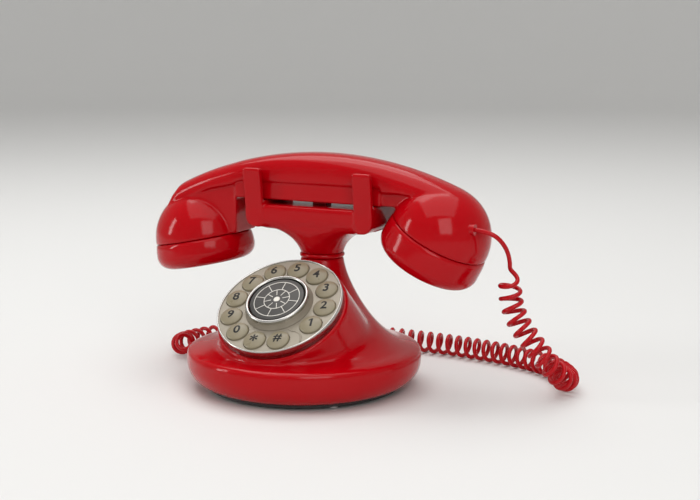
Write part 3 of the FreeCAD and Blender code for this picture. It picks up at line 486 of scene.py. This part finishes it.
bmesh.ops.translate(yoke_bm, verts=yoke_bm.verts, vec=(0, neck_y, 0))
through_modifiers(yoke_bm, [("REMESH", {"mode": "VOXEL", "voxel_size": yoke_voxel})])
soften(yoke_bm, yoke_bm.verts[:], 5)
soften(yoke_bm, [v for v in yoke_bm.verts if root_low < v.co.z < root_high and abs(v.co.x) < root_half], 30)
passage_bm = bmesh.new()
bmesh.ops.create_cube(passage_bm, size=1.0, matrix=Matrix.Translation((0, neck_y, passage_height))
                      @ Matrix.Diagonal((*passage_size, 1.0)))
bore_bm = bmesh.new()
bmesh.ops.create_cone(bore_bm, cap_ends=True, segments=48, radius1=rod_bore_radius, radius2=rod_bore_radius,
                      depth=rod_bore_length, matrix=Matrix.Translation((0, neck_y, rod_bore_height)))
cut_away(yoke_bm, [passage_bm, bore_bm])
piece_of("yoke", yoke_bm, "base", [red_plastic], ["cradle_yoke"])

# The hook plunger: a small red block in the crossbar that the handset's grip holds down.
# It is moulded in the casing's plastic and slides on its rod, and keeps its solid's shape.
dress(red_plastic, "hook_plunger")

# The dial: a satin silver plate with twelve holes, a bright plated rim pressed round it,
# and a low mark stamped between the last key and the first.
dial_radius = 39.4
rim_width = 1.1
rim_round = rim_width / 2
rim_rise = 0.15
mark_radius = 0.6
mark_path = ((23.6, 141.0), (26.5, 139.0), (28.5, 133.5), (33.5, 131.0), (38.6, 136.0))
satin_silver = finish_of("satin_silver", (0.29, 0.255, 0.20), (0.34, 0.30, 0.24), 0.40, 0.12,
                         metal=0.35, relief=0.06, patch=25.0)
bright_trim = finish_of("bright_trim", (0.46, 0.45, 0.425), (0.52, 0.51, 0.485), 0.20, 0.10,
                        metal=1.0, patch=30.0)
dress(satin_silver, "dial_plate")
rim_bm = bmesh.new()
turned(rim_bm, [(dial_radius, -dial_depth), (dial_radius + rim_width, -dial_depth)]
       + corner(dial_radius + rim_round, rim_rise, rim_round, 0, 180, 8) + [(dial_radius, -dial_depth)])
rim_bm.transform(dial_place)
piece_of("dial_trim", rim_bm, "base", [bright_trim], ["dial_rim"])


def thread_of(points, radius, sides):
    """A fine round thread through control points, as a bmesh."""
    curve = bpy.data.curves.new("thread", "CURVE")
    curve.dimensions = "3D"
    spline = curve.splines.new("NURBS")
    spline.points.add(len(points) - 1)
    for spot, point in zip(spline.points, points):
        spot.co = (*point, 1.0)
    spline.order_u = 3
    spline.use_endpoint_u = True
    curve.resolution_u = 12
    curve.bevel_depth = radius
    curve.bevel_resolution = sides
    curve.use_fill_caps = True
    holder = bpy.data.objects.new("thread", curve)
    mesh = bpy.data.meshes.new_from_object(holder)
    bm = bmesh.new()
    bm.from_mesh(mesh)
    bpy.data.objects.remove(holder)
    bpy.data.meshes.remove(mesh)
    bpy.data.curves.remove(curve)
    return bm


def on_dial(radius, turn):
    """A point of the dial by its angle clockwise from the top, in degrees."""
    return Vector((radius * sin(radians(turn)), radius * cos(radians(turn)), 0.0))


mark_bm = thread_of([on_dial(radius, turn) for radius, turn in mark_path], mark_radius, 3)
mark_bm.transform(dial_place)
piece_of("stamped_mark", mark_bm, "base", [satin_silver], [])

# The hub: a plated ring that rises from the plate round a dark disc,
# whose pale raised rings and spokes are a plain ornament.
hub_bore = 18.2
hub_skirt = [(22.0, 0.0), (21.6, 0.4), (21.2, 1.2), (20.8, 2.4), (20.4, 3.8)]
skirt_top = 3.6
disc_radius = 17.5
disc_top = 5.5
disc_round = 0.5
outer_ring = 14.6
inner_ring = 8.2
line_half = 0.28
line_crest_half = 0.20
line_foot = 5.45
line_crest = 5.66
spoke_count = 16
spoke_width = 0.42
hub_bm = bmesh.new()
turned(hub_bm, [(hub_bore, 0.0)] + hub_skirt + corner(19.3, 5.25, 1.05, 0, 170, 12)
       + [(hub_bore, 4.0), (hub_bore, 0.0)])
for f in hub_bm.faces:
    f.material_index = 1 if f.calc_center_median().z < skirt_top else 0
hub_bm.transform(dial_place)
piece_of("hub_trim", hub_bm, "base", [bright_trim, satin_silver], ["hub_ring"])
dark_disc = finish_of("dark_disc", (0.035, 0.033, 0.030), (0.060, 0.057, 0.052), 0.34, 0.16,
                      metal=0.4, relief=0.10, patch=120.0)
disc_bm = bmesh.new()
turned(disc_bm, [(0.0, 0.0), (disc_radius, 0.0)]
       + corner(disc_radius - disc_round, disc_top - disc_round, disc_round, 0, 90, 4) + [(0.0, disc_top)])
disc_bm.transform(dial_place)
piece_of("hub_face", disc_bm, "base", [dark_disc], ["hub_disc"])
pale_line = finish_of("pale_line", (0.42, 0.40, 0.36), (0.50, 0.48, 0.44), 0.30, 0.12, metal=0.8)
ornament_bm = bmesh.new()
for ring_radius in (outer_ring, inner_ring):
    ring_bm = bmesh.new()
    turned(ring_bm, [(ring_radius - line_half, line_foot), (ring_radius - line_crest_half, line_crest),
                     (ring_radius + line_crest_half, line_crest), (ring_radius + line_half, line_foot)], 96)
    join(ornament_bm, ring_bm)
for spoke in range(spoke_count):
    spoke_turn = Matrix.Rotation(2 * pi * spoke / spoke_count, 4, "Z")
    first, last = (inner_ring + 0.2, outer_ring - 0.2) if spoke % 2 == 0 else (3.6, inner_ring - 0.2)
    bmesh.ops.create_cube(ornament_bm, size=1.0,
                          matrix=spoke_turn @ Matrix.Translation(((first + last) / 2, 0, 5.55))
                          @ Matrix.Diagonal((last - first, spoke_width, 0.2, 1)))
bmesh.ops.create_cone(ornament_bm, cap_ends=True, segments=32, radius1=2.2, radius2=1.9, depth=0.24,
                      matrix=Matrix.Translation((0, 0, 5.56)))
ornament_bm.transform(dial_place)
piece_of("hub_ornament", ornament_bm, "base", [pale_line], [], smooth=False)

# Twelve keys: champagne plastic caps with a domed top and a printed figure that leans a little.
# Each slides in its hole in the plate and springs back.
key_radius = 7.1
key_proud = 1.0
key_crown = 1.3
key_foot = -3.0
key_edge = 0.75
stem_radius = 2.2
stem_foot = -3.8
dome_half = 19.8
dome_steps = 10
key_ring = 31.0
first_key_turn = 115.5
key_step = 28.97
figure_turn = radians(12.0)
figure_size = 8.8
star_size = 12.0
figure_weight = 0.20
figure_rise = 0.5
print_lift = 0.09
flag_turn = radians(40.0)
flag_size = (2.3, 0.95)
key_plastic = finish_of("key_plastic", (0.225, 0.19, 0.122), (0.265, 0.228, 0.152), 0.26, 0.12,
                        shine=0.4, relief=0.04, patch=150.0)
key_print = finish_of("key_print", (0.006, 0.006, 0.005), (0.012, 0.011, 0.010), 0.45, 0.15, shine=0.3)
crown_radius = (key_radius ** 2 + key_crown ** 2) / (2 * key_crown)
crown_middle = key_proud + key_crown - crown_radius
dome_turns = [radians(dome_half * (dome_steps - n) / dome_steps) for n in range(dome_steps + 1)]
dome = [(crown_radius * sin(t), crown_middle + crown_radius * cos(t)) for t in dome_turns]
key_figures = [(digit, digit) for digit in "1234567890"] + [("star", "*"), ("hash", "#")]
for number, (key_name, figure) in enumerate(key_figures):
    key_bm = bmesh.new()
    turned(key_bm, [(0.0, stem_foot), (stem_radius, stem_foot), (stem_radius, key_foot),
                    (key_radius, key_foot), (key_radius, key_edge)] + dome, 64)
    words = bpy.data.curves.new("figure", "FONT")
    words.body = figure
    words.size = star_size if figure == "*" else figure_size
    words.align_x = "CENTER"
    words.align_y = "CENTER"
    words.offset = figure_weight
    words.resolution_u = 6
    word_holder = bpy.data.objects.new("figure", words)
    word_mesh = bpy.data.meshes.new_from_object(word_holder)
    word_bm = bmesh.new()
    word_bm.from_mesh(word_mesh)
    bpy.data.objects.remove(word_holder)
    bpy.data.meshes.remove(word_mesh)
    bpy.data.curves.remove(words)
    if figure == "1":
        flag_x = min(v.co.x for v in word_bm.verts) - 0.35
        flag_y = max(v.co.y for v in word_bm.verts) - 0.95
        bmesh.ops.create_grid(word_bm, x_segments=3, y_segments=1, size=0.5,
                              matrix=Matrix.Translation((flag_x, flag_y, 0)) @ Matrix.Rotation(flag_turn, 4, "Z")
                              @ Matrix.Diagonal((*flag_size, 1, 1)))
    bmesh.ops.triangulate(word_bm, faces=word_bm.faces)
    for _ in range(3):
        bmesh.ops.subdivide_edges(word_bm, edges=[e for e in word_bm.edges if e.calc_length() > 0.7], cuts=1)
        bmesh.ops.triangulate(word_bm, faces=word_bm.faces)
    middle_x = (min(v.co.x for v in word_bm.verts) + max(v.co.x for v in word_bm.verts)) / 2
    middle_y = (min(v.co.y for v in word_bm.verts) + max(v.co.y for v in word_bm.verts)) / 2
    for v in word_bm.verts:
        v.co.x -= middle_x
        v.co.y += figure_rise - middle_y
        v.co.xy = Matrix.Rotation(figure_turn, 2) @ v.co.xy
        v.co.z = crown_middle + sqrt(crown_radius ** 2 - v.co.x ** 2 - v.co.y ** 2) + print_lift
    for f in word_bm.faces:
        f.material_index = 1
    join(key_bm, word_bm)
    key_bm.transform(dial_place @ Matrix.Translation(on_dial(key_ring, first_key_turn - key_step * number)))
    piece_of("key_cap_" + key_name, key_bm, "key_" + key_name, [key_plastic, key_print],
             ["key_" + key_name])

# The handset: an arched grip whose ends run into two round cups, moulded in one in red plastic.
# The ear end, on the left, leans less than the mouth end; the grip's sides step in above the cradle.
handset_shift = -4.0
handset_voxel = 0.75
grip_top = 148.0
grip_arc = 240.0
grip_crest = 6.0
grip_bottom = 117.2
grip_half = 17.0
grip_inner = {-1: 53.0, 1: 63.0}
cup_spread = {-1: 87.0, 1: 86.9}
cup_seam = {-1: 86.5, 1: 99.0}
cup_lean = {-1: radians(11.0), 1: radians(28.5)}
cup_radius = 32.6
crown = 13.0
keel_end = 53.0
keel_top = 129.2
keel_step = 1.6
web_top = 126.0
web_step = 3.5
web_fade = 20.0
web_end = 85.0
plan_round = 14.0
shoulder = 104.0
shoulder_blend = 16.0
shoulder_ease = 4.0
end_stations = (1.6, 3.2, 5.2, 7.6, 10.0, 13.0, 16.0, 20.0, 24.0, 30.0, 36.0, 42.0, 48.0)
grip_stations = (48.0, 44.0, 38.0, 32.0, 26.0, 20.0, 14.0, 8.0, 2.7)
end_x = {side: cup_spread[side] + cup_radius * cos(cup_lean[side]) for side in (-1, 1)}
end_z = {side: cup_seam[side] - cup_radius * sin(cup_lean[side]) for side in (-1, 1)}


def arch_height(x):
    """Height of the long arc along the grip's back."""
    return grip_top - grip_arc + sqrt(grip_arc ** 2 - (x - grip_crest) ** 2)


def grip_section(x):
    """Top and underside of the grip at a place along it."""
    side = 1 if x > 0 else -1
    along = abs(x)
    fall = (arch_height(side * shoulder) - end_z[side]) / (end_x[side] - shoulder)
    slant = arch_height(side * shoulder) - (along - shoulder) * fall
    arch = arch_height(x)
    near = max(0.0, shoulder_blend - abs(arch - slant)) / shoulder_blend
    top = min(arch, slant) - near * near * shoulder_ease
    seam = cup_seam[side] + (cup_spread[side] - along) * sin(cup_lean[side]) / cos(cup_lean[side])
    return top, (grip_bottom if along < grip_inner[side] else seam)


stations = {}
for side in (-1, 1):
    outward = [end_x[side] - back for back in end_stations]
    outward = [along for along in outward if along > grip_inner[side] + 3.0]
    outward += [grip_inner[side] + 0.6, grip_inner[side] - 0.6, *grip_stations]
    if grip_inner[side] > keel_end + 2:
        outward += [keel_end + 0.5, keel_end - 0.5]
    stations[side] = [side * along for along in sorted(outward, reverse=True)]
# Where each ring's lower half, from its side to its lowest point, starts on the side's drop,
# the step in, the band under it and the underside, and how long each takes.
ring_shares = ((0.0, 0.1), (0.1, 0.1), (0.2, 0.4), (0.6, 0.4))
handset_bm = bmesh.new()
rings = []
for x in stations[-1] + stations[1][::-1]:
    top, under = grip_section(x)
    ring = bmesh.ops.create_circle(handset_bm, cap_ends=False, segments=96, radius=1.0)["verts"]
    crown_foot = max(top - crown, under + 0.3 * (top - under))
    in_keel = abs(x) < keel_end
    ridge = max(min(crown_foot, keel_top if in_keel else web_top), under + 0.25 * (top - under))
    recess = keel_step if in_keel else web_step * min(1.0, max(0.0, (web_end - abs(x)) / web_fade))
    past = max(0.0, abs(x) - (end_x[1 if x > 0 else -1] - plan_round))
    half = grip_half - plan_round + sqrt(plan_round ** 2 - past ** 2)
    for v in ring:
        across, up = v.co.x, v.co.y
        v.co.x = x
        way = 1 if across > 0 else -1
        if up > 1e-6:
            v.co.y = half * way * abs(across) ** 0.80
            v.co.z = top - (top - crown_foot) * (1 - up ** 0.80)
        else:
            turned_under = 2 * atan2(abs(up), abs(across)) / pi
            side_down, stepped, band_down, inward = [min(1.0, max(0.0, (turned_under - start) / length))
                                                     for start, length in ring_shares]
            v.co.y = way * (half - recess * stepped) * (1 - inward)
            v.co.z = crown_foot - (crown_foot - ridge) * side_down - (ridge - under) * band_down
    rings.append(ring)
ring_edges = [list(dict.fromkeys(e for v in ring for e in v.link_edges)) for ring in rings]
for first, second in zip(ring_edges, ring_edges[1:]):
    bmesh.ops.bridge_loops(handset_bm, edges=first + second)
for last in (ring_edges[0], ring_edges[-1]):
    bmesh.ops.edgeloop_fill(handset_bm, edges=last)
bmesh.ops.recalc_face_normals(handset_bm, faces=handset_bm.faces)
cup_places = {side: Matrix.Translation((side * cup_spread[side], 0, cup_seam[side]))
              @ Matrix.Rotation(side * cup_lean[side], 4, "Y") for side in (-1, 1)}
for side in (-1, 1):
    cup_bm = bmesh.new()
    bmesh.ops.create_uvsphere(cup_bm, u_segments=96, v_segments=64, radius=cup_radius, matrix=cup_places[side])
    bmesh.ops.bisect_plane(cup_bm, geom=cup_bm.verts[:] + cup_bm.edges[:] + cup_bm.faces[:], dist=0.0001,
                           plane_co=cup_places[side].translation,
                           plane_no=cup_places[side].to_3x3() @ Vector((0, 0, 1)), clear_inner=True)
    bmesh.ops.holes_fill(cup_bm, edges=cup_bm.edges)
    join(handset_bm, cup_bm)
through_modifiers(handset_bm, [("REMESH", {"mode": "VOXEL", "voxel_size": handset_voxel})])
soften(handset_bm, handset_bm.verts[:], 3)
handset_place = Matrix.Translation((handset_shift, neck_y, 0))
handset_bm.transform(handset_place)
piece_of("handset_body", handset_bm, "handset", [red_plastic], ["handset_shell"])

# The caps: two turned red covers that screw onto the cups and hold the capsules.
# Each face is a little dished and drilled with a ring of holes round one in the middle.
cap_depth = {-1: 18.0, 1: 22.5}
cap_wall = [(0.0, -0.3), (31.7, -0.3), (32.6, -0.9), (33.1, -3.0), (33.45, -5.5)]
cap_round = 9.0
cap_round_middle = 24.6
hole_ring = 9.0
hole_radius = 1.6
hole_length = 8.0
for side, cap_name, hole_count in ((-1, "ear", 6), (1, "mouth", 8)):
    depth = cap_depth[side]
    cap_bm = bmesh.new()
    turned(cap_bm, cap_wall + corner(cap_round_middle, cap_round - depth, cap_round, 6, -82, 14)
           + [(22.8, -depth), (13.0, 0.8 - depth), (0.0, 1.0 - depth)], 128)
    for v in cap_bm.verts:
        v.co.z = max(v.co.z, -depth)
    drill_bm = bmesh.new()
    for hole in range(hole_count + 1):
        hole_turn = 2 * pi * hole / hole_count
        reach = hole_ring if hole > 0 else 0.0
        hole_place = Matrix.Translation((reach * cos(hole_turn), reach * sin(hole_turn), 1.5 - depth))
        bmesh.ops.create_cone(drill_bm, cap_ends=True, segments=24, radius1=hole_radius, radius2=hole_radius,
                              depth=hole_length, matrix=hole_place)
    cut_away(cap_bm, [drill_bm])
    cap_bm.transform(handset_place @ cup_places[side])
    piece_of(cap_name + "_screw_cap", cap_bm, "handset", [red_plastic], [cap_name + "_cap"])
capsule_metal = finish_of("capsule_metal", (0.55, 0.55, 0.54), (0.63, 0.63, 0.62), 0.28, 0.14,
                          metal=1.0, relief=0.06)
dress(capsule_metal, "receiver_capsule", "microphone_capsule")

# The curly cord: a soft red lead in tight curls from the handset's right end, down to the table,
# round behind the base and into the plug on the left, a small block with a spring latch under it.
# Its route is that of the solid.
plug_half = 3.2
plug_inner = 64.6
plug_outer = 80.3
latch_half = 1.6
latch_low = 9.2
wire = 2.8
curl_radius = 6.2
curl_pitch = 7.4
curl_slack = 4.0
curl_ramp = 16.0
lead_in = 34.0
lead_out = 14.0
coil_floor = curl_radius + wire / 2 + 0.3
cord_red = finish_of("cord_red", (0.42, 0.0, 0.004), (0.47, 0.002, 0.007), 0.20, 0.10, shine=0.24, relief=0.04)
dress(cord_red, "cord_grommet")
plug_bm = bmesh.new()
block(plug_bm, (plug_inner, -plug_half, 10.3), (plug_outer, plug_half, 16.7),
      [(lambda m: m.x > plug_outer - 0.1 or abs(m.x - 72.4) < 1, 0.7)])
block(plug_bm, (67.0, -latch_half, latch_low), (78.5, latch_half, 9.9), [(lambda m: abs(m.x - 72.7) > 5, 0.25)])
block(plug_bm, (66.0, -latch_half, latch_low), (68.5, latch_half, 10.6))
bmesh.ops.create_cone(plug_bm, cap_ends=True, segments=32, radius1=2.5, radius2=1.75, depth=5.0,
                      matrix=Matrix.Translation((82.6, 0, socket_height)) @ Matrix.Rotation(pi / 2, 4, "Y"))
plug_bm.transform(Matrix.Rotation(radians(handset_socket_turn), 4, "Z"))
plug = piece_of("cord_plug", plug_bm, "base", [cord_red], ["base_plug"], smooth=False)
cord_route = [
    Vector((112.2, 11.0, 107.0)),
    Vector((119.2, 11.0, 106.6)),
    Vector((127.0, 14.0, 102.3)),
    Vector((131.5, 19.0, 92.5)),
    Vector((131.0, 23.5, 78.0)),
    Vector((130.0, neck_y, 64.0)),
    Vector((135.0, neck_y, 50.0)),
    Vector((146.0, neck_y + 1, 35.0)),
    Vector((156.0, neck_y + 6, 21.0)),
    Vector((161.0, neck_y + 17, coil_floor + 2.5)),
    Vector((158.0, 62.0, coil_floor)),
    Vector((142.0, 83.0, coil_floor)),
    Vector((112.0, 99.0, coil_floor)),
    Vector((76.0, 108.0, coil_floor)),
    Vector((36.0, 112.0, coil_floor)),
    Vector((-8.0, 111.0, coil_floor)),
    Vector((-50.0, 103.0, coil_floor)),
    Vector((-84.0, 87.0, coil_floor)),
    Vector((-107.0, 63.0, coil_floor)),
    Vector((-115.0, 40.0, coil_floor)),
    Vector((-111.0, 24.0, coil_floor + 1.5)),
    Vector((-99.5, 15.5, 12.5)),
    Vector((-88.6, 12.5, 13.5)),
    Vector((-79.7, 11.2, 13.5)),
]
route_curve = bpy.data.curves.new("cord_route", "CURVE")
route_curve.dimensions = "3D"
route_spline = route_curve.splines.new("NURBS")
route_spline.points.add(len(cord_route) - 1)
for spot, point in zip(route_spline.points, cord_route):
    spot.co = (*point, 1.0)
route_spline.order_u = 3
route_spline.use_endpoint_u = True
route_curve.resolution_u = 100
route_holder = bpy.data.objects.new("cord_route", route_curve)
route_mesh = bpy.data.meshes.new_from_object(route_holder)
route_line = [v.co.copy() for v in route_mesh.vertices]
bpy.data.objects.remove(route_holder)
bpy.data.meshes.remove(route_mesh)
bpy.data.curves.remove(route_curve)
route_length = sum((b - a).length for a, b in zip(route_line, route_line[1:]))
wire_line = []
across = Vector((0.0, 1.0, 0.0))
turn = 0.0
gone = 0.0
for number, centre in enumerate(route_line):
    ahead = route_line[min(number + 1, len(route_line) - 1)]
    along = (ahead - route_line[max(number - 1, 0)]).normalized()
    across = (across - along * across.dot(along)).normalized()
    beside = along.cross(across)
    grown = min(1.0, max(0.0, (gone - lead_in) / curl_ramp),
                max(0.0, (route_length - lead_out - gone) / curl_ramp))
    grown = grown * grown * (3.0 - 2.0 * grown)
    wire_line.append((centre + (across * cos(turn) + beside * sin(turn)) * curl_radius * grown) * 0.001)
    step = (ahead - centre).length
    gone += step
    turn += 2 * pi * step / (curl_pitch * (1.0 + curl_slack * (1.0 - grown)))
wire_curve = bpy.data.curves.new("cord_wire", "CURVE")
wire_curve.dimensions = "3D"
wire_spline = wire_curve.splines.new("POLY")
wire_spline.points.add(len(wire_line) - 1)
for spot, point in zip(wire_spline.points, wire_line):
    spot.co = (*point, 1.0)
wire_curve.bevel_depth = wire / 2 * 0.001
wire_curve.bevel_resolution = 3
wire_curve.use_fill_caps = True
wire_holder = bpy.data.objects.new("cord_wire", wire_curve)
cord_mesh = bpy.data.meshes.new_from_object(wire_holder)
bpy.data.objects.remove(wire_holder)
bpy.data.curves.remove(wire_curve)
cord_mesh.shade_smooth()
cord_mesh.materials.append(cord_red)
cord_piece = bpy.data.objects.new("handset_cord", cord_mesh)
scene.collection.objects.link(cord_piece)
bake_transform(cord_piece)
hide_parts("curly_cord")
